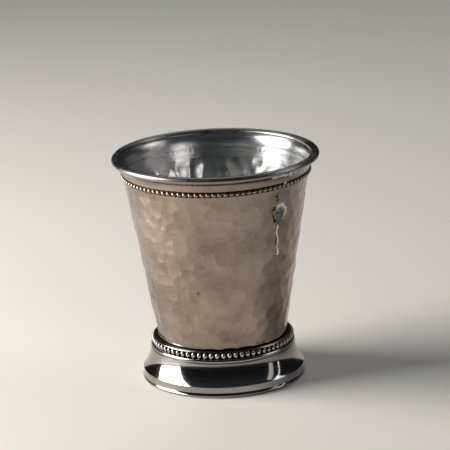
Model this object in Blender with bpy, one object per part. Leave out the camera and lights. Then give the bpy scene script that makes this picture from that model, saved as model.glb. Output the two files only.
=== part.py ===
"""A small footed shot cup in hammered metal, standing on the XY plane with its axis on +Z.

The cup is an assembly of rings and shells that are soldered together: a tapered wall with a flared
neck, a disc floor, a rim wire, two bead wires, and a foot made of a collar, a cove and a base band.
Radii and heights below are in millimetres. A radius is measured from the cup's axis and a height from
the surface that the cup stands on.
"""

import math

import bmesh
import bpy

MM = 0.001
JOINT_GAP = 0.3            # clearance at every soldered joint
SHEET = 0.8                # thickness of the wall and of the cove
ROUND_STEPS = 72           # flat sides that stand in for a full circle

CUP_HEIGHT = 57.15         # 2 1/4 inches over everything
RIM_RADIUS = 25.7
RIM_WIRE_WIDTH = 2.15      # across the rim's section
RIM_WIRE_DEPTH = 1.7       # up and down

WALL_TOP_RADIUS = 23.1     # outside, level with the upper beads
WALL_TOP_HEIGHT = 52.4
WALL_FOOT_RADIUS = 16.35   # outside, where the wall enters the collar
WALL_FOOT_HEIGHT = 12.0
WALL_END_HEIGHT = 9.2      # lower end of the wall, inside the collar
GROOVE_DEPTH = 0.35        # groove rolled into the wall for the upper bead wire
GROOVE_BOTTOM = 1.0        # width of the groove's flat bottom
GROOVE_MOUTH = 1.4         # width of the groove where it opens
NECK_START_HEIGHT = 53.2
NECK_FLARE = 1.9           # half-width of the ellipse that the neck follows
NECK_RISE = 2.25
NECK_SWEEP = 62.0          # degrees of that ellipse

FLOOR_HEIGHT = 9.5         # underside of the floor disc
FLOOR_THICKNESS = 0.9

UPPER_BEADS = 102
UPPER_BEAD_WIDTH = 0.6
UPPER_BEAD_DEPTH = 1.1
LOWER_BEADS = 72
LOWER_BEAD_WIDTH = 0.75
LOWER_BEAD_DEPTH = 1.35
LOWER_BEAD_HEIGHT = 9.88   # centre of the lower beads
BEAD_WAIST = 0.6           # how thick a bead wire is between two beads, next to a bead

COLLAR_HEIGHT = 8.2        # underside of the collar
COLLAR_TOP_HEIGHT = 11.0
COLLAR_LEDGE = 0.7         # thickness of the ledge that the wall stands on
COLLAR_LIP_RADIUS = 18.1
COLLAR_LIP_HEIGHT = 8.9    # top of the lip
CHANNEL_RADIUS = 16.9      # bottom of the channel that holds the lower beads
SHOULDER_RADIUS = 17.25    # rounded shoulder above the channel
SHOULDER_WIDTH = 0.5
SHOULDER_DROP = 0.4
FOOT_BORE = 14.2           # hole through the collar's ledge and the cove's top

COVE_TOP_RADIUS = 18.1
COVE_TOP_HEIGHT = 7.9
COVE_EDGE_RADIUS = 20.23   # widest, crisp edge of the foot
COVE_EDGE_HEIGHT = 2.7
COVE_DROP = 6.1            # half-height of the ellipse that the cove follows

BAND_HEIGHT = 2.4
BAND_RADIUS = 20.15        # outside of the band's upright upper half
BAND_BORE = 18.9
BAND_FLARE_HEIGHT = 1.6    # where the band starts to flare towards its foot
BAND_FLARE_HALF_WIDTH = 0.6
BAND_FLARE_HALF_HEIGHT = 1.15
BAND_FLARE_SWEEP = 60.0    # degrees of the ellipse that the flare follows
BAND_ROUNDING = 0.5        # radius of the band's lower outside corner

# Finish of each piece: colour, roughness. Everything is metal.
HAMMERED_NICKEL = ((0.42, 0.36, 0.31), 0.32)
POLISHED_NICKEL = ((0.62, 0.61, 0.60), 0.12)
BRUSHED_NICKEL = ((0.50, 0.49, 0.48), 0.35)


def arc(centre_radius, centre_height, half_width, half_height, start, end, steps):
    """Points of an ellipse in the radius-height plane; the angles are in degrees."""
    points = []
    for step in range(steps + 1):
        angle = math.radians(start + (end - start) * step / steps)
        points.append((centre_radius + half_width * math.cos(angle),
                       centre_height + half_height * math.sin(angle)))
    return points


def wall_radius(height):
    """Outside radius of the straight, tapered stretch of the wall."""
    taper = (WALL_TOP_RADIUS - WALL_FOOT_RADIUS) / (WALL_TOP_HEIGHT - WALL_FOOT_HEIGHT)
    return WALL_FOOT_RADIUS + (height - WALL_FOOT_HEIGHT) * taper


def make_piece(name, mesh_data, finish):
    """Link a finished bmesh as a named object with its own metal."""
    bmesh.ops.recalc_face_normals(mesh_data, faces=mesh_data.faces)
    mesh = bpy.data.meshes.new(name)
    mesh_data.to_mesh(mesh)
    mesh_data.free()
    mesh.shade_smooth()
    mesh.set_sharp_from_angle(angle=math.radians(35))

    colour, roughness = finish
    material = bpy.data.materials.new(name)
    material.use_nodes = True
    shader = material.node_tree.nodes["Principled BSDF"]
    shader.inputs["Base Color"].default_value = (*colour, 1.0)
    shader.inputs["Metallic"].default_value = 1.0
    shader.inputs["Roughness"].default_value = roughness
    mesh.materials.append(material)

    piece = bpy.data.objects.new(name, mesh)
    bpy.context.scene.collection.objects.link(piece)
    return piece


def turn_ring(outline, steps):
    """Turn a closed outline of (radius, height) points a full circle round the cup's axis."""
    mesh_data = bmesh.new()
    section = [mesh_data.verts.new((radius * MM, 0.0, height * MM)) for radius, height in outline]
    edges = [mesh_data.edges.new((section[i - 1], section[i])) for i in range(len(section))]
    bmesh.ops.spin(mesh_data, geom=section + edges, cent=(0.0, 0.0, 0.0), axis=(0.0, 0.0, 1.0),
                   angle=math.tau, steps=steps, use_merge=True, use_duplicate=False)
    return mesh_data


def turn_bead_wire(inner_radius, centre_height, width, depth, beads):
    """Turn an oval wire with two stations to a bead: one at its crown and one at its waist."""
    section = arc(inner_radius + width / 2, centre_height, width / 2, depth / 2, 0.0, 360.0, 6)[:-1]
    mesh_data = turn_ring(section, 2 * beads)
    for vertex in mesh_data.verts:
        station = round(math.atan2(vertex.co.y, vertex.co.x) / math.tau * 2 * beads)
        if station % 2:
            radius = math.hypot(vertex.co.x, vertex.co.y)
            waist_radius = inner_radius * MM + (radius - inner_radius * MM) * BEAD_WAIST
            vertex.co.x *= waist_radius / radius
            vertex.co.y *= waist_radius / radius
            vertex.co.z = centre_height * MM + (vertex.co.z - centre_height * MM) * BEAD_WAIST
    return mesh_data


def make_rim_wire():
    """Oval wire round the mouth."""
    section = arc(RIM_RADIUS - RIM_WIRE_WIDTH / 2, CUP_HEIGHT - RIM_WIRE_DEPTH / 2,
                  RIM_WIRE_WIDTH / 2, RIM_WIRE_DEPTH / 2, 0.0, 360.0, 8)[:-1]
    make_piece("rim_wire", turn_ring(section, ROUND_STEPS), POLISHED_NICKEL)


def make_cup_wall():
    """Sheet shell: a straight taper, a groove for the upper bead wire, then the flared neck."""
    neck = arc(wall_radius(NECK_START_HEIGHT) + NECK_FLARE, NECK_START_HEIGHT,
               -NECK_FLARE, NECK_RISE, 0.0, NECK_SWEEP, 4)
    groove_radius = WALL_TOP_RADIUS - GROOVE_DEPTH
    groove_start = WALL_TOP_HEIGHT - GROOVE_MOUTH / 2
    groove_end = WALL_TOP_HEIGHT + GROOVE_MOUTH / 2
    taper = [(wall_radius(WALL_END_HEIGHT), WALL_END_HEIGHT),
             (wall_radius(WALL_FOOT_HEIGHT), WALL_FOOT_HEIGHT),
             (wall_radius(groove_start), groove_start)]
    groove = [(groove_radius, WALL_TOP_HEIGHT - GROOVE_BOTTOM / 2),
              (groove_radius, WALL_TOP_HEIGHT + GROOVE_BOTTOM / 2),
              (wall_radius(groove_end), groove_end)]
    outside = taper + groove + neck
    inside = [(radius - SHEET, height) for radius, height in reversed(outside)]
    make_piece("cup_wall", turn_ring(outside + inside, ROUND_STEPS), HAMMERED_NICKEL)


def make_cup_floor():
    """Disc let into the lower end of the wall."""
    radius = wall_radius(FLOOR_HEIGHT) - SHEET - JOINT_GAP
    mesh_data = bmesh.new()
    bmesh.ops.create_cone(mesh_data, cap_ends=True, segments=ROUND_STEPS, radius1=radius * MM,
                          radius2=radius * MM, depth=FLOOR_THICKNESS * MM)
    bmesh.ops.translate(mesh_data, verts=mesh_data.verts,
                        vec=(0.0, 0.0, (FLOOR_HEIGHT + FLOOR_THICKNESS / 2) * MM))
    make_piece("cup_floor", mesh_data, BRUSHED_NICKEL)


def make_upper_bead_wire():
    """Fine bead wire that lies in the wall's groove, just under the neck."""
    wire = turn_bead_wire(WALL_TOP_RADIUS - GROOVE_DEPTH + JOINT_GAP, WALL_TOP_HEIGHT,
                          UPPER_BEAD_WIDTH, UPPER_BEAD_DEPTH, UPPER_BEADS)
    make_piece("upper_bead_wire", wire, POLISHED_NICKEL)


def make_lower_bead_wire():
    """Bead wire that lies in the collar's channel."""
    wire = turn_bead_wire(CHANNEL_RADIUS + JOINT_GAP, LOWER_BEAD_HEIGHT, LOWER_BEAD_WIDTH,
                          LOWER_BEAD_DEPTH, LOWER_BEADS)
    make_piece("lower_bead_wire", wire, POLISHED_NICKEL)


def make_foot_collar():
    """Turned ring: a ledge under the wall, a rounded lip, the bead channel and a rounded shoulder."""
    ledge_height = COLLAR_HEIGHT + COLLAR_LEDGE
    lip_half = (COLLAR_LIP_HEIGHT - COLLAR_HEIGHT) / 2
    shoulder_height = COLLAR_TOP_HEIGHT - SHOULDER_DROP
    lip = arc(COLLAR_LIP_RADIUS - lip_half, COLLAR_HEIGHT + lip_half, lip_half, lip_half,
              -90.0, 90.0, 4)
    channel = [(CHANNEL_RADIUS, COLLAR_LIP_HEIGHT), (CHANNEL_RADIUS, shoulder_height)]
    shoulder = arc(SHOULDER_RADIUS - SHOULDER_WIDTH, shoulder_height, SHOULDER_WIDTH, SHOULDER_DROP,
                   0.0, 90.0, 4)
    bore = [(wall_radius(COLLAR_TOP_HEIGHT) + JOINT_GAP, COLLAR_TOP_HEIGHT),
            (wall_radius(ledge_height) + JOINT_GAP, ledge_height),
            (FOOT_BORE, ledge_height),
            (FOOT_BORE, COLLAR_HEIGHT)]
    make_piece("foot_collar", turn_ring(lip + channel + shoulder + bore, ROUND_STEPS), POLISHED_NICKEL)


def make_foot_cove():
    """Spun shell: a flat top under the collar, and a concave side that flares to a crisp edge."""
    sweep = math.asin((COVE_TOP_HEIGHT - COVE_EDGE_HEIGHT) / COVE_DROP)
    half_width = (COVE_EDGE_RADIUS - COVE_TOP_RADIUS) / (1.0 - math.cos(sweep))
    outside = arc(COVE_TOP_RADIUS + half_width, COVE_TOP_HEIGHT, -half_width, -COVE_DROP,
                  0.0, math.degrees(sweep), 7)
    inside_top = COVE_TOP_HEIGHT - SHEET
    inside = [(radius - SHEET, min(height, inside_top)) for radius, height in reversed(outside)]
    top = [(FOOT_BORE, inside_top), (FOOT_BORE, COVE_TOP_HEIGHT)]
    make_piece("foot_cove", turn_ring(outside + inside + top, ROUND_STEPS), POLISHED_NICKEL)


def make_base_band():
    """Band that the cup stands on: upright above, flared below, with a rounded lower corner."""
    flare = arc(BAND_RADIUS + BAND_FLARE_HALF_WIDTH, BAND_FLARE_HEIGHT, -BAND_FLARE_HALF_WIDTH,
                -BAND_FLARE_HALF_HEIGHT, BAND_FLARE_SWEEP, 0.0, 3)
    corner = arc(flare[0][0] - BAND_ROUNDING, BAND_ROUNDING, BAND_ROUNDING, BAND_ROUNDING,
                 -90.0, 0.0, 3)
    top = [(BAND_RADIUS, BAND_HEIGHT), (BAND_BORE, BAND_HEIGHT), (BAND_BORE, 0.0)]
    make_piece("base_band", turn_ring(corner + flare + top, ROUND_STEPS), POLISHED_NICKEL)


for leftover in list(bpy.data.objects):
    bpy.data.objects.remove(leftover, do_unlink=True)

make_rim_wire()
make_upper_bead_wire()
make_cup_wall()
make_cup_floor()
make_foot_collar()
make_lower_bead_wire()
make_foot_cove()
make_base_band()
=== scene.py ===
import math
import random

import bmesh
import bpy
from mathutils import Euler, Matrix, Vector, kdtree, noise


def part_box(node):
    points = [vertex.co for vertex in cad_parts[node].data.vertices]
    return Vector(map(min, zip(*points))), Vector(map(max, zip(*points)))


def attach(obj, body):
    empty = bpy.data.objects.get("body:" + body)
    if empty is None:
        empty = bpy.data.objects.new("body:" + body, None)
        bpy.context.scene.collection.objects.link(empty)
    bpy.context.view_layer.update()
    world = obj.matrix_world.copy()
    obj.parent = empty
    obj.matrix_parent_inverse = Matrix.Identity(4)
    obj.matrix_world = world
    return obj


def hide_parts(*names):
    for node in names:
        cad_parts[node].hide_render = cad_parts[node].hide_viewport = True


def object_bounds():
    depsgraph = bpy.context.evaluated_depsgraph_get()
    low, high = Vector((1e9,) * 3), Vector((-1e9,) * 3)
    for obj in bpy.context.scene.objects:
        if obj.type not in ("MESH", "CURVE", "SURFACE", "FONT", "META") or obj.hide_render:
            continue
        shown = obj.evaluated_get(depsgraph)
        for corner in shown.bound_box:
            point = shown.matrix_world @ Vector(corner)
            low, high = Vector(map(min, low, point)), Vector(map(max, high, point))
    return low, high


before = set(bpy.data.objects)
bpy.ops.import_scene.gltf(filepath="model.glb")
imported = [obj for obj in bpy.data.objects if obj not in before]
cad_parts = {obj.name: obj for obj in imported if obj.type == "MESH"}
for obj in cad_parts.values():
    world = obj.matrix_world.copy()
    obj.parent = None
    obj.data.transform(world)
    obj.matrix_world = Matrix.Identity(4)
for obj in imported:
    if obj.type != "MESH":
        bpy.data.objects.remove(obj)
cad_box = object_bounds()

# ---------------------------------------------------------------------------------------------
# Camera. A long lens looks slightly down at the cup from about 0.6 m away, and is turned a few
# degrees about its own axis, so that the cup seems to lean to the left.
# ---------------------------------------------------------------------------------------------
MM = 0.001
cup_height = cad_box[1].z

aim_right = 1.7 * MM
aim_share = 0.671                  # of the cup's height
aim = Vector((aim_right, 0.0, aim_share * cup_height))
camera_distance = 0.6046
camera_elevation = math.radians(15.95)
camera_roll = math.radians(-2.36)
lens_length, sensor_width = 194.5, 36.0     # in millimetres, as the camera counts them

camera = bpy.data.objects.new("camera", bpy.data.cameras.new("camera"))
camera.data.sensor_width = sensor_width
camera.data.lens = lens_length
camera.location = aim + camera_distance * Vector(
    (0.0, -math.cos(camera_elevation), math.sin(camera_elevation)))
camera_turn = Euler((math.pi / 2 - camera_elevation, 0.0, 0.0)).to_matrix()
camera.rotation_euler = (camera_turn @ Euler((0.0, 0.0, camera_roll)).to_matrix()).to_euler()
bpy.context.scene.collection.objects.link(camera)
bpy.context.scene.camera = camera


# ---------------------------------------------------------------------------------------------
# Studio. A plain pale matt table under the cup. A large softbox stands close on the left, weaker ones
# stand on the right and high behind the cup, and two narrow strip lights stand on the right, in a
# dim room.
# ---------------------------------------------------------------------------------------------
def linear(hex_colour):
    """An sRGB hex colour as linear red, green, blue and alpha."""
    channels = [int(hex_colour[i:i + 2], 16) / 255 for i in (1, 3, 5)]
    return (*[c / 12.92 if c <= 0.04045 else ((c + 0.055) / 1.055) ** 2.4 for c in channels], 1.0)


def add_node(material, kind, settings, links):
    """Adds a node to a material or a world. Settings are properties or inputs; links fill inputs."""
    node = material.node_tree.nodes.new(kind)
    for name, value in settings.items():
        if isinstance(name, str) and hasattr(node, name):
            setattr(node, name, value)
        else:
            node.inputs[name].default_value = value
    for name, source in links.items():
        material.node_tree.links.new(source, node.inputs[name])
    return node


def new_material(name):
    """An empty node material."""
    material = bpy.data.materials.new(name)
    material.use_nodes = True
    material.node_tree.nodes.clear()
    return material


# Painted board: pale, warm and matt, with a very faint unevenness of tone in patches about 110 mm
# across.
painted_board = new_material("painted_board")
place = add_node(painted_board, "ShaderNodeTexCoord", {}, {})
clouds = add_node(painted_board, "ShaderNodeTexNoise", {"Scale": 9.0, "Detail": 3.0},
                  {"Vector": place.outputs["Object"]})
paint = add_node(painted_board, "ShaderNodeMix",
                 {"data_type": "RGBA", 6: linear("#EFE8DD"), 7: linear("#F4EEE5")},
                 {0: clouds.outputs["Fac"]})
board = add_node(painted_board, "ShaderNodeBsdfPrincipled", {"Roughness": 0.6},
                 {"Base Color": paint.outputs[2]})
add_node(painted_board, "ShaderNodeOutputMaterial", {}, {"Surface": board.outputs[0]})

table_radius, table_corners = 2.5, 96
table_mesh = bmesh.new()
bmesh.ops.create_circle(table_mesh, cap_ends=True, segments=table_corners,
                         radius=table_radius)
table = bpy.data.objects.new("table", bpy.data.meshes.new("table"))
table_mesh.to_mesh(table.data)
table_mesh.free()
table.data.materials.append(painted_board)
bpy.context.scene.collection.objects.link(table)


def add_softbox(name, azimuth, elevation, distance, width, height, watts):
    """A rectangular light that faces the cup. Azimuth 0 is the camera's side, and 90 its right."""
    light = bpy.data.lights.new(name, "AREA")
    light.shape = "RECTANGLE"
    light.size = width
    light.size_y = height
    light.energy = watts
    across, up = math.radians(azimuth), math.radians(elevation)
    back = Vector((math.sin(across) * math.cos(up), -math.cos(across) * math.cos(up), math.sin(up)))
    middle = Vector((0.0, 0.0, cup_height / 2))
    box = bpy.data.objects.new(name, light)
    box.location = middle + distance * back
    box.rotation_euler = back.to_track_quat("Z", "Y").to_euler()
    box.visible_camera = False
    bpy.context.scene.collection.objects.link(box)


add_softbox("left_softbox", azimuth=-89.0, elevation=24.0, distance=0.50, width=0.37, height=0.46,
            watts=5.0)
add_softbox("back_softbox", azimuth=175.0, elevation=50.0, distance=0.80, width=0.60, height=0.30,
            watts=0.60)
add_softbox("right_softbox", azimuth=100.0, elevation=40.0, distance=0.80, width=0.34, height=0.30,
            watts=0.60)
add_softbox("near_strip", azimuth=75.0, elevation=18.0, distance=0.60, width=0.075, height=0.40,
            watts=0.085)
add_softbox("far_strip", azimuth=90.0, elevation=18.0, distance=0.60, width=0.016, height=0.40,
            watts=0.06)

# The room is dim at the level of the table and lighter overhead.
room = bpy.data.worlds.new("room")
room.use_nodes = True
room.node_tree.nodes.clear()
direction = add_node(room, "ShaderNodeTexCoord", {}, {})
parts = add_node(room, "ShaderNodeSeparateXYZ", {}, {"Vector": direction.outputs["Generated"]})
overhead = add_node(room, "ShaderNodeMapRange",
                    {"interpolation_type": "SMOOTHSTEP", "From Min": 0.25, "From Max": 0.95},
                    {"Value": parts.outputs["Z"]})
air = add_node(room, "ShaderNodeMix",
               {"data_type": "RGBA", 6: linear("#1E2124"), 7: linear("#3C444C")},
               {0: overhead.outputs[0]})
air_light = add_node(room, "ShaderNodeBackground", {"Strength": 1.0}, {"Color": air.outputs[2]})
add_node(room, "ShaderNodeOutputWorld", {}, {"Surface": air_light.outputs[0]})
bpy.context.scene.world = room
bpy.context.scene.view_settings.view_transform = "Standard"


# ---------------------------------------------------------------------------------------------
# Cup wall. One sheet of metal drawn into a taper and planished with a round-faced hammer, so that
# its outside is covered in overlapping shallow marks. Its neck is left plain and flares out to the
# rim, and its inside is brushed round and round, with the marks showing through as soft bumps.
# ---------------------------------------------------------------------------------------------
wall_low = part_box("cup_wall")[0]
rim_low, rim_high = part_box("rim_wire")
collar_low, collar_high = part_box("foot_collar")
beads_low, beads_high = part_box("upper_bead_wire")

sheet = 0.8 * MM
wall_foot_radius = 16.35 * MM
wall_foot_height = 12.0 * MM
wall_top_radius = 23.1 * MM        # outside, level with the upper beads
wall_top_height = (beads_low.z + beads_high.z) / 2
upper_beads = 102
round_steps = 4 * upper_beads


def wall_radius(height):
    """Outside radius of the straight taper."""
    taper = (wall_top_radius - wall_foot_radius) / (wall_top_height - wall_foot_height)
    return wall_foot_radius + (height - wall_foot_height) * taper


def even_steps(start, end, count):
    """Numbers from start to end, both included."""
    return [start + (end - start) * i / (count - 1) for i in range(count)]


def oval(centre_radius, centre_height, half_width, half_height, start, end, count):
    """Points of an ellipse in the radius-height plane; the angles are in degrees."""
    return [(centre_radius + half_width * math.cos(math.radians(a)),
             centre_height + half_height * math.sin(math.radians(a)))
            for a in even_steps(start, end, count)]


def turn(outline, steps, closed=True):
    """Spins an outline of (radius, height) points round the cup's axis into a closed skin."""
    skin = bmesh.new()
    points = [skin.verts.new((radius, 0.0, height)) for radius, height in outline]
    lines = [skin.edges.new(pair) for pair in zip(points, points[1:])]
    if closed:
        lines.append(skin.edges.new((points[-1], points[0])))
    bmesh.ops.spin(skin, geom=points + lines, cent=(0.0, 0.0, 0.0), axis=(0.0, 0.0, 1.0),
                   angle=math.tau, steps=steps, use_merge=True, use_duplicate=False)
    bmesh.ops.remove_doubles(skin, verts=skin.verts, dist=0.001 * MM)
    bmesh.ops.recalc_face_normals(skin, faces=skin.faces)
    return skin


def paint_inside(skin):
    """Gives the faces that look towards the cup's axis the piece's second material."""
    skin.normal_update()
    for face in skin.faces:
        middle = face.calc_center_median()
        outward = face.normal.x * middle.x + face.normal.y * middle.y
        face.material_index = 0 if outward > 0.0 else 1


def finish_piece(name, skin, materials, node, sharp_angle=40.0):
    """Turns a finished bmesh into a piece that stands for a CAD node and rides on the cup."""
    piece = bpy.data.objects.new(name, bpy.data.meshes.new(name))
    skin.to_mesh(piece.data)
    skin.free()
    for material in materials:
        piece.data.materials.append(material)
    piece.data.shade_smooth()
    piece.data.set_sharp_from_angle(angle=math.radians(sharp_angle))
    bpy.context.scene.collection.objects.link(piece)
    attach(piece, "root")
    if node:
        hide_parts(node)


# From the bottom up: the hidden end in the collar, a small rolled edge, the hammered taper, the
# groove for the beads, and the neck, whose end is buried in the rim wire.
edge_roll = 0.3 * MM
edge_gap = 0.05 * MM
edge_height = collar_high.z + edge_gap
groove_depth, groove_half, groove_mouth = 0.35 * MM, 0.5 * MM, 0.7 * MM
neck_start = 53.2 * MM
neck_flare, neck_rise, neck_sweep = 1.9 * MM, 2.3 * MM, 84.0
throat_flare, throat_rise, throat_sweep = 1.62 * MM, 3.0 * MM, 72.0
rim_middle = (rim_low.z + rim_high.z) / 2
neck_bite = 0.2 * MM               # how far under the middle of the rim wire the neck ends
print_half = 0.6 * MM              # half the height of the band that the beads print inside
hammered_rows, inside_rows, print_rows, curve_rows, roll_rows = 134, 56, 7, 10, 5

hidden_end = [(wall_radius(wall_low.z) - edge_roll, wall_low.z)]
rolled_edge = oval(wall_radius(edge_height + edge_roll) - edge_roll, edge_height + edge_roll,
                   edge_roll, edge_roll, -80.0, -10.0, roll_rows)
hammer_start, hammer_end = edge_height + edge_roll, wall_top_height - groove_mouth
hammered = [(wall_radius(z), z) for z in even_steps(hammer_start, hammer_end, hammered_rows)]
groove = [(wall_top_radius - groove_depth, wall_top_height - groove_half),
          (wall_top_radius - groove_depth, wall_top_height + groove_half),
          (wall_radius(wall_top_height + groove_mouth), wall_top_height + groove_mouth)]
neck = oval(wall_radius(neck_start) + neck_flare, neck_start, -neck_flare, neck_rise,
            0.0, neck_sweep, curve_rows)
neck_end = [(neck[-1][0], rim_middle - neck_bite)]
throat = oval(wall_radius(neck_start) - sheet + throat_flare, neck_start, -throat_flare, throat_rise,
              throat_sweep, 0.0, curve_rows)
inside = [(wall_radius(z) - sheet, z)
          for z in even_steps(wall_top_height + print_half, wall_top_height - print_half, print_rows)]
inside += [(wall_radius(z) - sheet, z)
           for z in even_steps(hammer_end - 0.3 * MM, hammer_start, inside_rows)]
inside.append((wall_radius(wall_low.z) - sheet, wall_low.z))
wall_skin = turn(hidden_end + rolled_edge + hammered + groove + neck + neck_end + throat + inside,
                 round_steps)

# Hammer marks: rings of blows, each ring shifted by half a mark, struck by hand and so never quite
# evenly or equally hard. Between the blows stand low ridges.
mark_spacing = 3.5 * MM
ring_spacing = 0.86 * mark_spacing
mark_jitter = 0.34                 # of the spacing, to either side
flattest_bowl, roundest_bowl = 18.0, 9.0    # radii of a mark's hollow, in millimetres
nearby_marks = 6
hardest_blow = 0.060 * MM
ridge_height = 0.16 * MM
ridge_softness = 0.0022 * MM
edge_band = 0.010 * MM
hammer_hand = random.Random(20)
marks = []
ring_height = collar_high.z - mark_spacing
ring = 0
while ring_height < neck_start:
    ring_radius = wall_radius(ring_height)
    blows = round(math.tau * ring_radius / mark_spacing)
    for blow in range(blows):
        slip = hammer_hand.uniform(-mark_jitter, mark_jitter)
        angle = math.tau * (blow + 0.5 * (ring % 2) + slip) / blows
        height = ring_height + hammer_hand.uniform(-mark_jitter, mark_jitter) * mark_spacing
        marks.append({"spot": Vector((ring_radius * math.cos(angle), ring_radius * math.sin(angle),
                                      height)),
                      "bowl_radius": hammer_hand.uniform(roundest_bowl, flattest_bowl) * MM,
                      "extra_depth": hammer_hand.uniform(0.0, hardest_blow),
                      "tone": hammer_hand.random()})
    ring_height += ring_spacing
    ring += 1
mark_finder = kdtree.KDTree(len(marks))
for number, mark in enumerate(marks):
    mark_finder.insert(mark["spot"], number)
mark_finder.balance()


def hammered_surface(point):
    """Depth below the untouched sheet, the mark's tone, and 1 on a ridge falling to 0 in a mark."""
    bowls = []
    for spot, number, gap in mark_finder.find_n(point, nearby_marks):
        mark = marks[number]
        bowls.append((gap * gap / (2 * mark["bowl_radius"]) - mark["extra_depth"], mark["tone"]))
    bowls.sort()
    weights = [math.exp((bowls[0][0] - bowl) / ridge_softness) for bowl, tone in bowls]
    depth = ridge_height - bowls[0][0] + ridge_softness * math.log(sum(weights))
    tone = sum(weight * bowl[1] for weight, bowl in zip(weights, bowls)) / sum(weights)
    ridge = max(0.0, 1.0 - (bowls[1][0] - bowls[0][0]) / edge_band)
    return max(0.0, depth), tone, ridge


def dent(point, azimuth, height, half_width, half_height, depth):
    """Depth of an oval dent in the wall. Azimuth 0 is the camera's side, and 90 its right."""
    radius = math.hypot(point.x, point.y)
    across = (math.atan2(point.x, -point.y) - math.radians(azimuth)) * radius
    reach = math.hypot(across / half_width, (point.z - height) / half_height)
    return depth * math.cos(min(reach, 1.0) * math.pi / 2) ** 2


# On the left the sheet has been crumpled a little and is finely creased. The marks show through
# inside, drawn deeper than outside so that they can be seen, and fade out below the throat.
bead_print = 0.035 * MM
crease_depth, crease_size, crease_share = 0.060 * MM, 2.3 * MM, 0.06
crumple_start, crumple_width = 5 * MM, 9 * MM
through_factor, through_end, through_fade = 1.8, 50.5 * MM, 2.5 * MM
sway_depth, sway_size = 0.06 * MM, 13 * MM
dent_depth = 0.12 * MM
row_slack = 0.01 * MM
old_dent = {"azimuth": -17.0, "height": 26.3 * MM, "half_width": 0.9 * MM, "half_height": 1.0 * MM}
tone_layer = wall_skin.verts.layers.float.new("mark_tone")
ridge_layer = wall_skin.verts.layers.float.new("ridge")
dent_dark_layer = wall_skin.verts.layers.float.new("dent_dark")
fade, fade_floor = 1.5 * MM, 0.3
for vertex in wall_skin.verts:
    point = vertex.co.copy()
    radius = math.hypot(point.x, point.y)
    outer = radius > wall_radius(point.z) - sheet / 2
    vertex[tone_layer] = 0.5
    depth = 0.0
    if hammer_start - row_slack < point.z < hammer_end + row_slack:
        struck = Vector((point.x, point.y, 0.0)) * (wall_radius(point.z) / radius)
        struck.z = point.z
        depth, tone, ridge = hammered_surface(struck)
        fading = min(1.0, (hammer_end - point.z) / fade, (point.z - hammer_start) / fade + fade_floor)
        through = through_factor * min(1.0, max(0.0, (through_end - point.z) / through_fade))
        depth = (depth * (1.0 if outer else through)
                 + sway_depth * (noise.noise(struck / sway_size) + 0.5)) * fading
        if outer:
            crumpled = min(1.0, max(0.0, (-struck.x - crumple_start) / crumple_width))
            stretched = Vector((struck.x, struck.y, 0.6 * struck.z))
            creases = 1.0 - 2.5 * abs(noise.noise(stretched / crease_size))
            depth += crease_depth * (crease_share + 0.94 * crumpled) * creases * fading
        vertex[tone_layer] = 0.5 + (tone - 0.5) * fading
        vertex[ridge_layer] = ridge * fading
        # The old dent is sunk into the outside and coloured dark brown inside.
        spot = dent(point, depth=1.0, **old_dent)
        depth += dent_depth * spot
        vertex[dent_dark_layer] = spot if outer else 0.0
    elif not outer and abs(point.z - wall_top_height) < groove_half:
        beat = 0.5 + 0.5 * math.cos(upper_beads * math.atan2(point.y, point.x))
        depth = bead_print * beat * math.cos((point.z - wall_top_height) / MM * math.pi)
    vertex.co.x *= (radius - depth) / radius
    vertex.co.y *= (radius - depth) / radius
paint_inside(wall_skin)

# Planished nickel, tinted a warm brown-grey: a painted reflection of a brown wooden table that the
# outside would mirror, while the inside stays neutral. Satin in each hammer mark, rubbed a little
# brighter on the ridges between them, with faint brush lines round the cup. The lines are drawn
# 0.35 mm apart, coarser than real ones, so that they show.
hammered_nickel = new_material("planished_nickel_warm_reflection")
place = add_node(hammered_nickel, "ShaderNodeTexCoord", {}, {})
lines_place = add_node(hammered_nickel, "ShaderNodeMapping", {"Scale": (60.0, 60.0, 1 / (0.35 * MM))},
                       {"Vector": place.outputs["Object"]})
lines = add_node(hammered_nickel, "ShaderNodeTexNoise", {"Scale": 1.0, "Detail": 2.0},
                 {"Vector": lines_place.outputs[0]})
patches = add_node(hammered_nickel, "ShaderNodeTexNoise", {"Scale": 1 / (9.0 * MM), "Detail": 3.0},
                   {"Vector": place.outputs["Object"]})
mark_tone = add_node(hammered_nickel, "ShaderNodeAttribute", {"attribute_name": "mark_tone"}, {})
ridge = add_node(hammered_nickel, "ShaderNodeAttribute", {"attribute_name": "ridge"}, {})
dent_dark = add_node(hammered_nickel, "ShaderNodeAttribute", {"attribute_name": "dent_dark"}, {})
mixed = add_node(hammered_nickel, "ShaderNodeMath", {"operation": "MULTIPLY_ADD", 1: 0.16},
                 {0: mark_tone.outputs["Fac"], 2: patches.outputs["Fac"]})
warmth = add_node(hammered_nickel, "ShaderNodeMapRange",
                  {"From Min": 0.32, "From Max": 0.86}, {"Value": mixed.outputs[0]})
# Painted reflection: two warm brown-greys, chosen between by each mark's random tone and by patches.
warm_reflection_tint = add_node(hammered_nickel, "ShaderNodeMix",
                {"data_type": "RGBA", 6: linear("#A99A8D"), 7: linear("#7F7065")},
                {0: warmth.outputs[0]})
rubbing = add_node(hammered_nickel, "ShaderNodeMath", {"operation": "MULTIPLY", 1: 0.35},
                   {0: ridge.outputs["Fac"]})
rubbed = add_node(hammered_nickel, "ShaderNodeMix", {"data_type": "RGBA", 7: linear("#C4B8AC")},
                  {0: rubbing.outputs[0], 6: warm_reflection_tint.outputs[2]})
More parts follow.
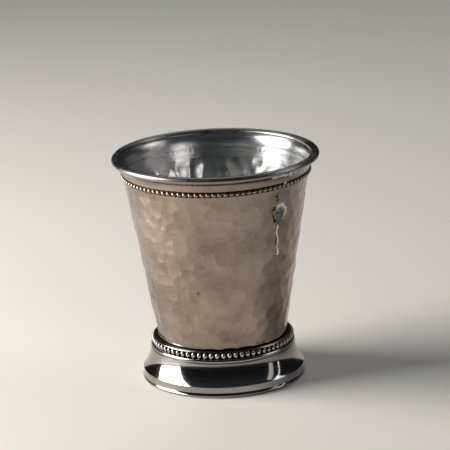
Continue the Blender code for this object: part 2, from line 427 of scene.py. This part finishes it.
# Dark brown inside the old dent.
dent_darkening = add_node(hammered_nickel, "ShaderNodeMath", {"operation": "MULTIPLY", 1: 0.8},
                    {0: dent_dark.outputs["Fac"]})
colour = add_node(hammered_nickel, "ShaderNodeMix", {"data_type": "RGBA", 7: linear("#4A3527")},
                  {0: dent_darkening.outputs[0], 6: rubbed.outputs[2]})
gloss = add_node(hammered_nickel, "ShaderNodeMapRange",
                 {"From Min": 0.3, "From Max": 0.7, "To Min": 0.19, "To Max": 0.29},
                 {"Value": lines.outputs["Fac"]})
brushing = add_node(hammered_nickel, "ShaderNodeBump", {"Strength": 0.2, "Distance": 0.006 * MM},
                    {"Height": lines.outputs["Fac"]})
metal = add_node(hammered_nickel, "ShaderNodeBsdfPrincipled", {"Metallic": 1.0},
                 {"Base Color": colour.outputs[2], "Roughness": gloss.outputs[0],
                  "Normal": brushing.outputs[0]})
add_node(hammered_nickel, "ShaderNodeOutputMaterial", {}, {"Surface": metal.outputs[0]})

# Brushed nickel: neutral, turned against abrasive cloth. The fine scratches all run round the cup, so
# a light spreads up and down across them, which the anisotropy gives. They are drawn 0.3 mm apart,
# coarser than real ones, so that they show.
brushed_nickel = new_material("brushed_nickel")
place = add_node(brushed_nickel, "ShaderNodeTexCoord", {}, {})
lines_place = add_node(brushed_nickel, "ShaderNodeMapping", {"Scale": (25.0, 25.0, 1 / (0.3 * MM))},
                       {"Vector": place.outputs["Object"]})
lines = add_node(brushed_nickel, "ShaderNodeTexNoise", {"Scale": 1.0, "Detail": 3.0},
                 {"Vector": lines_place.outputs[0]})
around = add_node(brushed_nickel, "ShaderNodeTangent", {"direction_type": "RADIAL", "axis": "Z"}, {})
colour = add_node(brushed_nickel, "ShaderNodeMix",
                  {"data_type": "RGBA", 6: linear("#C2C1BF"), 7: linear("#D2D1CF")},
                  {0: lines.outputs["Fac"]})
gloss = add_node(brushed_nickel, "ShaderNodeMapRange",
                 {"From Min": 0.3, "From Max": 0.7, "To Min": 0.26, "To Max": 0.32},
                 {"Value": lines.outputs["Fac"]})
brushing = add_node(brushed_nickel, "ShaderNodeBump", {"Strength": 0.06, "Distance": 0.002 * MM},
                    {"Height": lines.outputs["Fac"]})
metal = add_node(brushed_nickel, "ShaderNodeBsdfPrincipled",
                 {"Metallic": 1.0, "Anisotropic": 0.85, "Anisotropic Rotation": 0.25},
                 {"Base Color": colour.outputs[2], "Roughness": gloss.outputs[0],
                  "Normal": brushing.outputs[0], "Tangent": around.outputs[0]})
add_node(brushed_nickel, "ShaderNodeOutputMaterial", {}, {"Surface": metal.outputs[0]})

finish_piece("cup_wall_hammered", wall_skin, [hammered_nickel, brushed_nickel], "cup_wall",
             sharp_angle=60.0)


# ---------------------------------------------------------------------------------------------
# Cup floor. A disc let into the lower end of the wall and soldered there: the solder leaves a small
# round fillet inside, and the disc is brushed in circles.
# ---------------------------------------------------------------------------------------------
floor_low, floor_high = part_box("cup_floor")
floor_edge = wall_radius(floor_high.z) - sheet + 0.05 * MM
fillet = 0.9 * MM
floor_flare = 0.1 * MM             # how far the buried rim of the disc reaches into the wall
floor_steps = 144
floor_top = oval(floor_edge - fillet, floor_high.z + fillet, fillet, fillet, -90.0, 0.0, 8)
floor_outline = ([(0.0, floor_high.z)] + [(floor_edge * f, floor_high.z) for f in (0.25, 0.5, 0.75)]
                 + floor_top + [(floor_edge + floor_flare, floor_low.z), (0.0, floor_low.z)])
finish_piece("cup_floor_disc", turn(floor_outline, floor_steps, closed=False), [brushed_nickel],
             "cup_floor")


# ---------------------------------------------------------------------------------------------
# Rim wire. An oval wire soldered over the edge of the neck. It was polished, and use has rubbed it
# to a satin with a fine uneven grain.
# ---------------------------------------------------------------------------------------------
rim_radius = rim_high.x
rim_half_height = (rim_high.z - rim_low.z) / 2
rim_half_width = 1.075 * MM
rim_sides, rim_steps = 32, 288
rim_outline = oval(rim_radius - rim_half_width, rim_low.z + rim_half_height, rim_half_width,
                   rim_half_height, 0.0, 360.0, rim_sides + 1)[:-1]

# Polished nickel: near a mirror, softened by rubbing. Wide shallow waves from polishing by hand bend
# its reflections, and faint hair scratches run round it, drawn 0.25 mm apart, coarser than real ones.
polished_nickel = new_material("polished_nickel")
place = add_node(polished_nickel, "ShaderNodeTexCoord", {}, {})
hairs_place = add_node(polished_nickel, "ShaderNodeMapping",
                       {"Scale": (80.0, 80.0, 1 / (0.25 * MM))}, {"Vector": place.outputs["Object"]})
hairs = add_node(polished_nickel, "ShaderNodeTexNoise", {"Scale": 1.0, "Detail": 2.0},
                 {"Vector": hairs_place.outputs[0]})
waves = add_node(polished_nickel, "ShaderNodeTexNoise", {"Scale": 1 / (3.0 * MM), "Detail": 2.0},
                 {"Vector": place.outputs["Object"]})
gloss = add_node(polished_nickel, "ShaderNodeMapRange",
                 {"From Min": 0.35, "From Max": 0.75, "To Min": 0.06, "To Max": 0.15},
                 {"Value": hairs.outputs["Fac"]})
wavy = add_node(polished_nickel, "ShaderNodeBump", {"Strength": 0.12, "Distance": 0.08 * MM},
                {"Height": waves.outputs["Fac"]})
scratched = add_node(polished_nickel, "ShaderNodeBump", {"Strength": 0.12, "Distance": 0.01 * MM},
                     {"Height": hairs.outputs["Fac"], "Normal": wavy.outputs[0]})
metal = add_node(polished_nickel, "ShaderNodeBsdfPrincipled",
                 {"Metallic": 1.0, "Base Color": linear("#9E9893")},
                 {"Roughness": gloss.outputs[0], "Normal": scratched.outputs[0]})
add_node(polished_nickel, "ShaderNodeOutputMaterial", {}, {"Surface": metal.outputs[0]})

# The rim is handled most: the same nickel, rubbed to a satin, with a fine uneven grain.
rubbed_nickel = new_material("rubbed_satin_nickel")
place = add_node(rubbed_nickel, "ShaderNodeTexCoord", {}, {})
rubs = add_node(rubbed_nickel, "ShaderNodeTexNoise", {"Scale": 1 / (0.7 * MM), "Detail": 4.0},
                {"Vector": place.outputs["Object"]})
smears = add_node(rubbed_nickel, "ShaderNodeTexNoise", {"Scale": 1 / (5.0 * MM), "Detail": 2.0},
                  {"Vector": place.outputs["Object"]})
gloss = add_node(rubbed_nickel, "ShaderNodeMapRange",
                 {"From Min": 0.35, "From Max": 0.65, "To Min": 0.22, "To Max": 0.36},
                 {"Value": smears.outputs["Fac"]})
grain = add_node(rubbed_nickel, "ShaderNodeBump", {"Strength": 0.25, "Distance": 0.02 * MM},
                 {"Height": rubs.outputs["Fac"]})
metal = add_node(rubbed_nickel, "ShaderNodeBsdfPrincipled",
                 {"Metallic": 1.0, "Base Color": linear("#8F8A85")},
                 {"Roughness": gloss.outputs[0], "Normal": grain.outputs[0]})
add_node(rubbed_nickel, "ShaderNodeOutputMaterial", {}, {"Surface": metal.outputs[0]})

finish_piece("rim_wire_rubbed", turn(rim_outline, rim_steps), [rubbed_nickel], "rim_wire")


# ---------------------------------------------------------------------------------------------
# Upper bead wire. A fine wire rolled into round beads and soldered round the wall under the neck, on
# a thin half-round backing. The crowns of the beads are bright. Towards the backing they are painted
# dark brown, partly tarnish in the hollows and partly painted shade between and behind the beads.
# ---------------------------------------------------------------------------------------------
def tarnish_and_shade_metal(name, hollow_radius, crown_radius, clean_colour, tarnish_and_shade="#2A211A"):
    """Bead metal painted dark near the wire's back, partly tarnish and partly painted shade, and bright
    on the crowns of the beads.
    """
    material = new_material(name)
    place = add_node(material, "ShaderNodeTexCoord", {}, {})
    parts = add_node(material, "ShaderNodeSeparateXYZ", {}, {"Vector": place.outputs["Object"]})
    flat = add_node(material, "ShaderNodeCombineXYZ", {}, {"X": parts.outputs[0], "Y": parts.outputs[1]})
    radius = add_node(material, "ShaderNodeVectorMath", {"operation": "LENGTH"},
                      {0: flat.outputs[0]})
    bright = add_node(material, "ShaderNodeMapRange",
                      {"interpolation_type": "SMOOTHSTEP", "From Min": hollow_radius,
                       "From Max": crown_radius}, {"Value": radius.outputs["Value"]})
    colour = add_node(material, "ShaderNodeMix",
                      {"data_type": "RGBA", 6: linear(tarnish_and_shade), 7: linear(clean_colour)},
                      {0: bright.outputs[0]})
    gloss = add_node(material, "ShaderNodeMapRange", {"To Min": 0.5, "To Max": 0.12},
                     {"Value": bright.outputs[0]})
    metal = add_node(material, "ShaderNodeBsdfPrincipled", {"Metallic": 1.0},
                     {"Base Color": colour.outputs[2], "Roughness": gloss.outputs[0]})
    add_node(material, "ShaderNodeOutputMaterial", {}, {"Surface": metal.outputs[0]})
    return material


def string_of_beads(count, centre_radius, centre_height, half_sizes):
    """One oval bead, copied round the cup's axis; half_sizes are radial, sideways and upright."""
    beads = bmesh.new()
    bmesh.ops.create_uvsphere(beads, u_segments=10, v_segments=7, radius=1.0)
    bmesh.ops.scale(beads, verts=beads.verts, vec=half_sizes)
    bmesh.ops.translate(beads, verts=beads.verts, vec=(centre_radius, 0.0, centre_height))
    bmesh.ops.spin(beads, geom=beads.verts[:] + beads.edges[:] + beads.faces[:],
                   cent=(0.0, 0.0, 0.0), axis=(0.0, 0.0, 1.0),
                   angle=math.tau * (count - 1) / count, steps=count - 1,
                   use_duplicate=True)
    return beads


upper_crown = beads_high.x
upper_half_sizes = (0.52 * MM, 0.62 * MM, 0.52 * MM)
upper_centre = upper_crown - upper_half_sizes[0]
upper_string = string_of_beads(upper_beads, upper_centre, wall_top_height, upper_half_sizes)
backing_half_width, backing_half_height = 0.50 * MM, 0.62 * MM
backing = turn(oval(wall_top_radius - groove_depth, wall_top_height, backing_half_width,
                    backing_half_height, -90.0, 90.0, 9), 2 * upper_beads)
backing_mesh = bpy.data.meshes.new("upper_backing")
backing.to_mesh(backing_mesh)
backing.free()
upper_string.from_mesh(backing_mesh)
bpy.data.meshes.remove(backing_mesh)
upper_bead_metal = tarnish_and_shade_metal("beaded_nickel_tarnish_and_shade", upper_centre + 0.08 * MM,
                                   upper_crown - 0.02 * MM, "#B09F91", "#4A3B30")
finish_piece("upper_bead_wire_beads", upper_string, [upper_bead_metal], "upper_bead_wire")


# ---------------------------------------------------------------------------------------------
# Solder run. The rim wire and the bead wire were both closed at the same side, and the solder ran: a
# rough lump on the rim, a dot on the neck, a skin below the beads, then a drop on the wall with a
# thin trail under it.
# ---------------------------------------------------------------------------------------------
run_azimuth = 43.0
drop_height, skin_height, dot_height = 45.3 * MM, 49.9 * MM, 53.1 * MM


def wall_place(azimuth, height, radius):
    """A point on the cup and the matrix that lays X outwards, Y to the right and Z up the wall."""
    turned = math.radians(azimuth)
    out = Vector((math.sin(turned), -math.cos(turned), 0.0))
    right = Vector((math.cos(turned), math.sin(turned), 0.0))
    up = out.cross(right)
    lay = Matrix((out, right, up)).transposed().to_4x4()
    lay.translation = out * radius + Vector((0.0, 0.0, height))
    return lay


def solder_blob(skin, azimuth, height, radius, half_sizes, tilt, narrowing, lumps, detail, frost_and_highlight,
                hollow=0.0, edge_highlight=False):
    """Adds a blob of solder. It may narrow downwards, be lumpy and be sunk. It is frosted evenly, unless
    it gets a painted highlight on its upper right edge with painted glint streaks.
    """
    blob = bmesh.new()
    bmesh.ops.create_uvsphere(blob, u_segments=detail, v_segments=detail * 2 // 3, radius=1.0)
    frost_highlight_layer = blob.verts.layers.float.new("frost_and_highlight")
    for vertex in blob.verts:
        # A painted highlight on the blob's upper right edge, where the lamps on the right would catch
        # it, and painted glint streaks across it.
        edge = (math.hypot(vertex.co.y, vertex.co.z) - 0.52) / 0.22
        upper_right = (0.40 * vertex.co.y + 0.92 * vertex.co.z + 0.15) / 0.5
        glint_streak = 0.45 * max(0.0, noise.noise(Vector((0.0, 2.5 * vertex.co.y, 7.0 * vertex.co.z))))
        lit_edge = min(1.0, max(0.0, edge)) * min(1.0, max(0.0, upper_right))
        vertex[frost_highlight_layer] = max(lit_edge, glint_streak) if edge_highlight else frost_and_highlight
        lump = 1.0 + lumps * noise.noise(vertex.co * 2.3 + Vector((height, azimuth, 0.0)))
        narrow = 1.0 - narrowing * max(0.0, (0.35 - vertex.co.z) / 1.35) ** 1.2
        sink = 1.0 - hollow * vertex.co.x ** 2
        vertex.co = Vector((vertex.co.x * half_sizes[0] * narrow * lump * sink,
                            vertex.co.y * half_sizes[1] * narrow * lump,
                            vertex.co.z * half_sizes[2] * lump))
    lean = Matrix.Rotation(math.radians(tilt), 4, "X")
    bmesh.ops.transform(blob, matrix=wall_place(azimuth, height, radius) @ lean, verts=blob.verts)
    blob_mesh = bpy.data.meshes.new("blob")
    blob.to_mesh(blob_mesh)
    blob.free()
    skin.from_mesh(blob_mesh)
    bpy.data.meshes.remove(blob_mesh)


solder = bmesh.new()
solder_blob(solder, run_azimuth, drop_height, wall_radius(drop_height) - 0.05 * MM,
            half_sizes=(1.0 * MM, 2.35 * MM, 2.85 * MM), tilt=-14.0, narrowing=0.72, lumps=0.12,
            detail=48, frost_and_highlight=0.0, hollow=0.6, edge_highlight=True)
solder_blob(solder, run_azimuth + 1.0, skin_height, wall_radius(skin_height) - 0.06 * MM,
            half_sizes=(0.12 * MM, 1.5 * MM, 1.5 * MM), tilt=0.0, narrowing=0.2, lumps=0.6,
            detail=30, frost_and_highlight=0.15)
solder_blob(solder, run_azimuth + 2.2, dot_height, wall_radius(dot_height) + 0.05 * MM,
            half_sizes=(0.42 * MM, 0.40 * MM, 0.40 * MM), tilt=0.0, narrowing=0.0, lumps=0.3,
            detail=12, frost_and_highlight=1.0)
for step, (away, size) in enumerate(((-8.5, 1.0), (-4.0, 1.3), (1.0, 1.1), (6.0, 0.8))):
    solder_blob(solder, run_azimuth + away, rim_low.z + (0.35 + 0.12 * (step % 2)) * MM,
                rim_high.x - 0.70 * MM, half_sizes=(0.70 * MM, size * MM, 0.52 * MM), tilt=0.0,
                narrowing=0.0, lumps=0.8, detail=20, frost_and_highlight=0.8)

# The trail: a thin thread that wanders a little, swells just before its end, and ends in a point.
trail_top, trail_end = drop_height - 2.3 * MM, 34.4 * MM
trail_steps, trail_sides = 30, 8
seed_size = 0.001 * MM
trail = [trail_top + (trail_end - trail_top) * i / trail_steps for i in range(trail_steps + 1)]
frost_highlight_layer = solder.verts.layers.float["frost_and_highlight"]
loop = bmesh.ops.create_circle(solder, segments=trail_sides, radius=1.0)["verts"]
bmesh.ops.transform(solder, matrix=Matrix.Diagonal((seed_size, seed_size, seed_size, 1.0)), verts=loop)
edges = list({edge for vertex in loop for edge in vertex.link_edges})
for step, height in enumerate(trail):
    along = step / trail_steps
    wander = 0.16 * MM * math.sin(5.2 * along * math.pi) + 0.08 * MM * math.sin(13.0 * along)
    azimuth = run_azimuth - 1.6 + 3.2 * along + math.degrees(wander / wall_radius(height))
    girth = (0.19 + 0.04 * math.sin(9.0 * along) + 0.10 * max(0.0, along - 0.75) / 0.25
             * (1.0 if along < 0.97 else 0.4)) * MM
    centre = wall_place(azimuth, height, wall_radius(height) + 0.02 * MM)
    ring_verts = loop
    if step:
        made = bmesh.ops.extrude_edge_only(solder, edges=edges)["geom"]
        ring_verts = [item for item in made if isinstance(item, bmesh.types.BMVert)]
        edges = [item for item in made if isinstance(item, bmesh.types.BMEdge)]
    middle = sum((vertex.co for vertex in ring_verts), Vector()) / len(ring_verts)
    for number, vertex in enumerate(ring_verts):
        spoke = (vertex.co - middle).normalized()
        if step == 0:
            spoke = centre.to_3x3() @ Vector((spoke.x, spoke.y, 0.0))
        vertex.co = centre.translation + spoke * girth
        # The trail is painted white along its length as a painted highlight, dimmer about three quarters
        # of the way down.
        vertex[frost_highlight_layer] = 1.0 - 0.55 * math.exp(-((along - 0.72) / 0.12) ** 2)
bmesh.ops.holes_fill(solder, edges=[edge for edge in solder.edges if edge.is_boundary],
                     sides=trail_sides)
bmesh.ops.recalc_face_normals(solder, faces=solder.faces)

# Tin solder: the bare metal skin is painted dark grey, a painted reflection of the dim room, and it
# is white and duller where the attribute is high: an even frost on the small blobs, where the solder
# froze last or lies thin, and a painted highlight on the drop's upper right edge and along the trail.
tin_solder = new_material("bright_tin_solder")
place = add_node(tin_solder, "ShaderNodeTexCoord", {}, {})
skin_noise = add_node(tin_solder, "ShaderNodeTexNoise", {"Scale": 1 / (0.8 * MM), "Detail": 3.0},
                      {"Vector": place.outputs["Object"]})
wrinkle = add_node(tin_solder, "ShaderNodeBump", {"Strength": 0.6, "Distance": 0.10 * MM},
                   {"Height": skin_noise.outputs["Fac"]})
frost_and_highlight = add_node(tin_solder, "ShaderNodeAttribute", {"attribute_name": "frost_and_highlight"}, {})
bare = add_node(tin_solder, "ShaderNodeMapRange", {"To Min": 1.0, "To Max": 0.12},
                {"Value": frost_and_highlight.outputs["Fac"]})
gloss = add_node(tin_solder, "ShaderNodeMapRange", {"To Min": 0.1, "To Max": 0.22},
                 {"Value": frost_and_highlight.outputs["Fac"]})
colour = add_node(tin_solder, "ShaderNodeMix",
                  {"data_type": "RGBA", 6: linear("#5C5A58"), 7: linear("#FDFCFA")},
                  {0: frost_and_highlight.outputs["Fac"]})
metal = add_node(tin_solder, "ShaderNodeBsdfPrincipled", {},
                 {"Base Color": colour.outputs[2], "Metallic": bare.outputs[0],
                  "Roughness": gloss.outputs[0], "Normal": wrinkle.outputs[0]})
add_node(tin_solder, "ShaderNodeOutputMaterial", {}, {"Surface": metal.outputs[0]})
finish_piece("solder_run", solder, [tin_solder], None, sharp_angle=80.0)


# ---------------------------------------------------------------------------------------------
# Foot collar. A turned ring that the wall stands in: a rounded shoulder above, a channel for the
# lower beads, and a polished lip below them. The channel is painted dark, partly tarnish and partly
# painted shade under the beads.
# ---------------------------------------------------------------------------------------------
lower_low, lower_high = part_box("lower_bead_wire")
channel_radius = 16.95 * MM
channel_half = 0.74 * MM
channel_middle = (lower_low.z + lower_high.z) / 2 + 0.03 * MM
collar_foot = collar_low.z - 0.25 * MM
lip_radius = collar_high.x
shoulder_radius = 17.45 * MM
shoulder_inner = 16.75 * MM
ledge_radius = 14.2 * MM
ledge_height = collar_low.z + 0.7 * MM
bore_gap, bore_taper, bore_drop = 0.10 * MM, 0.05 * MM, 0.6 * MM
collar_steps = 216

lip_half = (channel_middle - channel_half - collar_foot) / 2
shoulder_drop = collar_high.z - channel_middle - channel_half
lip = oval(lip_radius - lip_half, collar_foot + lip_half, lip_half, lip_half, -90.0, 90.0, 11)
shoulder = oval(shoulder_inner, channel_middle + channel_half, shoulder_radius - shoulder_inner,
                shoulder_drop, 0.0, 90.0, 10)
collar_bore = [(wall_radius(collar_high.z) + bore_gap, collar_high.z),
               (wall_radius(collar_high.z) + bore_taper, collar_high.z - bore_drop),
               (wall_radius(ledge_height), ledge_height), (ledge_radius, ledge_height),
               (ledge_radius, collar_foot)]
channel = [(channel_radius, channel_middle - channel_half),
           (channel_radius, channel_middle + channel_half)]
collar_metal = tarnish_and_shade_metal("turned_nickel_tarnish_and_shade", channel_radius + 0.02 * MM,
                               channel_radius + 0.35 * MM, "#A09A95")
finish_piece("foot_collar_turned", turn(lip + channel + shoulder + collar_bore, collar_steps),
             [collar_metal], "foot_collar")


# ---------------------------------------------------------------------------------------------
# Lower bead wire. A heavier beaded wire laid in the collar's channel: its beads are taller than they
# are wide and almost touch, with dark slots between them. Their backs are painted dark, partly
# tarnish and partly painted shade between the beads.
# ---------------------------------------------------------------------------------------------
lower_beads = 72
lower_crown = lower_high.x
lower_half_sizes = (0.56 * MM, 0.61 * MM, 0.76 * MM)
lower_centre = lower_crown - lower_half_sizes[0]
lower_string = string_of_beads(lower_beads, lower_centre, channel_middle, lower_half_sizes)
lower_bead_metal = tarnish_and_shade_metal("heavy_beads_tarnish_and_shade", lower_centre + 0.02 * MM,
                                   lower_crown - 0.15 * MM, "#B8B2AC")
finish_piece("lower_bead_wire_beads", lower_string, [lower_bead_metal], "lower_bead_wire")


# ---------------------------------------------------------------------------------------------
# Foot cove. A thin sheet spun over a form into a hollow curve that starts almost upright under the
# collar and flares to a crisp edge. It is polished like a mirror outside and left dull underneath.
# ---------------------------------------------------------------------------------------------
cove_low, cove_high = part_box("foot_cove")
cove_edge_radius = cove_high.x
cove_top_radius = 18.1 * MM
cove_top = cove_high.z + 0.1 * MM
cove_start, cove_drop = 9.5, 9.0 * MM       # the start of the curve is in degrees
foot_steps = 256
start_turn = math.radians(cove_start)
cove_end = math.degrees(math.asin((cove_top - cove_low.z) / cove_drop + math.sin(start_turn)))
cove_width = ((cove_edge_radius - cove_top_radius)
              / (math.cos(start_turn) - math.cos(math.radians(cove_end))))
cove_outside = oval(cove_top_radius + cove_width * math.cos(start_turn),
                    cove_top + cove_drop * math.sin(start_turn), -cove_width, -cove_drop,
                    cove_start, cove_end, 28)
cove_inside = [(radius - sheet, min(height, cove_top - sheet))
               for radius, height in reversed(cove_outside)]
cove_shelf = [(ledge_radius, cove_top - sheet), (ledge_radius, cove_top)]
cove_skin = turn(cove_outside + cove_inside + cove_shelf, foot_steps)
paint_inside(cove_skin)
finish_piece("foot_cove_spun", cove_skin, [polished_nickel, brushed_nickel], "foot_cove",
             sharp_angle=30.0)


# ---------------------------------------------------------------------------------------------
# Base band. A flat strip bent into a ring and soldered under the cove's edge: upright above, flared
# below, with a rounded lower corner that the cup stands on.
# ---------------------------------------------------------------------------------------------
band_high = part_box("base_band")[1]
band_top = cove_low.z
band_foot_radius = band_high.x
band_radius = band_foot_radius - 0.3 * MM
band_bore = 18.9 * MM
flare_top = 1.6 * MM
flare_width, flare_drop = 0.6 * MM, 1.15 * MM
corner = 0.5 * MM
band_chamfer = 0.05 * MM
flare = oval(band_radius + flare_width, flare_top, -flare_width, -flare_drop, 60.0, 0.0, 9)
band_corner = oval(flare[0][0] - corner, corner, corner, corner, -90.0, 0.0, 8)
band_outline = (band_corner + flare + [(band_radius, band_top - band_chamfer),
                                       (band_radius - band_chamfer, band_top),
                                       (band_bore, band_top), (band_bore, 0.0)])
finish_piece("base_band_polished", turn(band_outline, foot_steps), [polished_nickel], "base_band",
             sharp_angle=35.0)
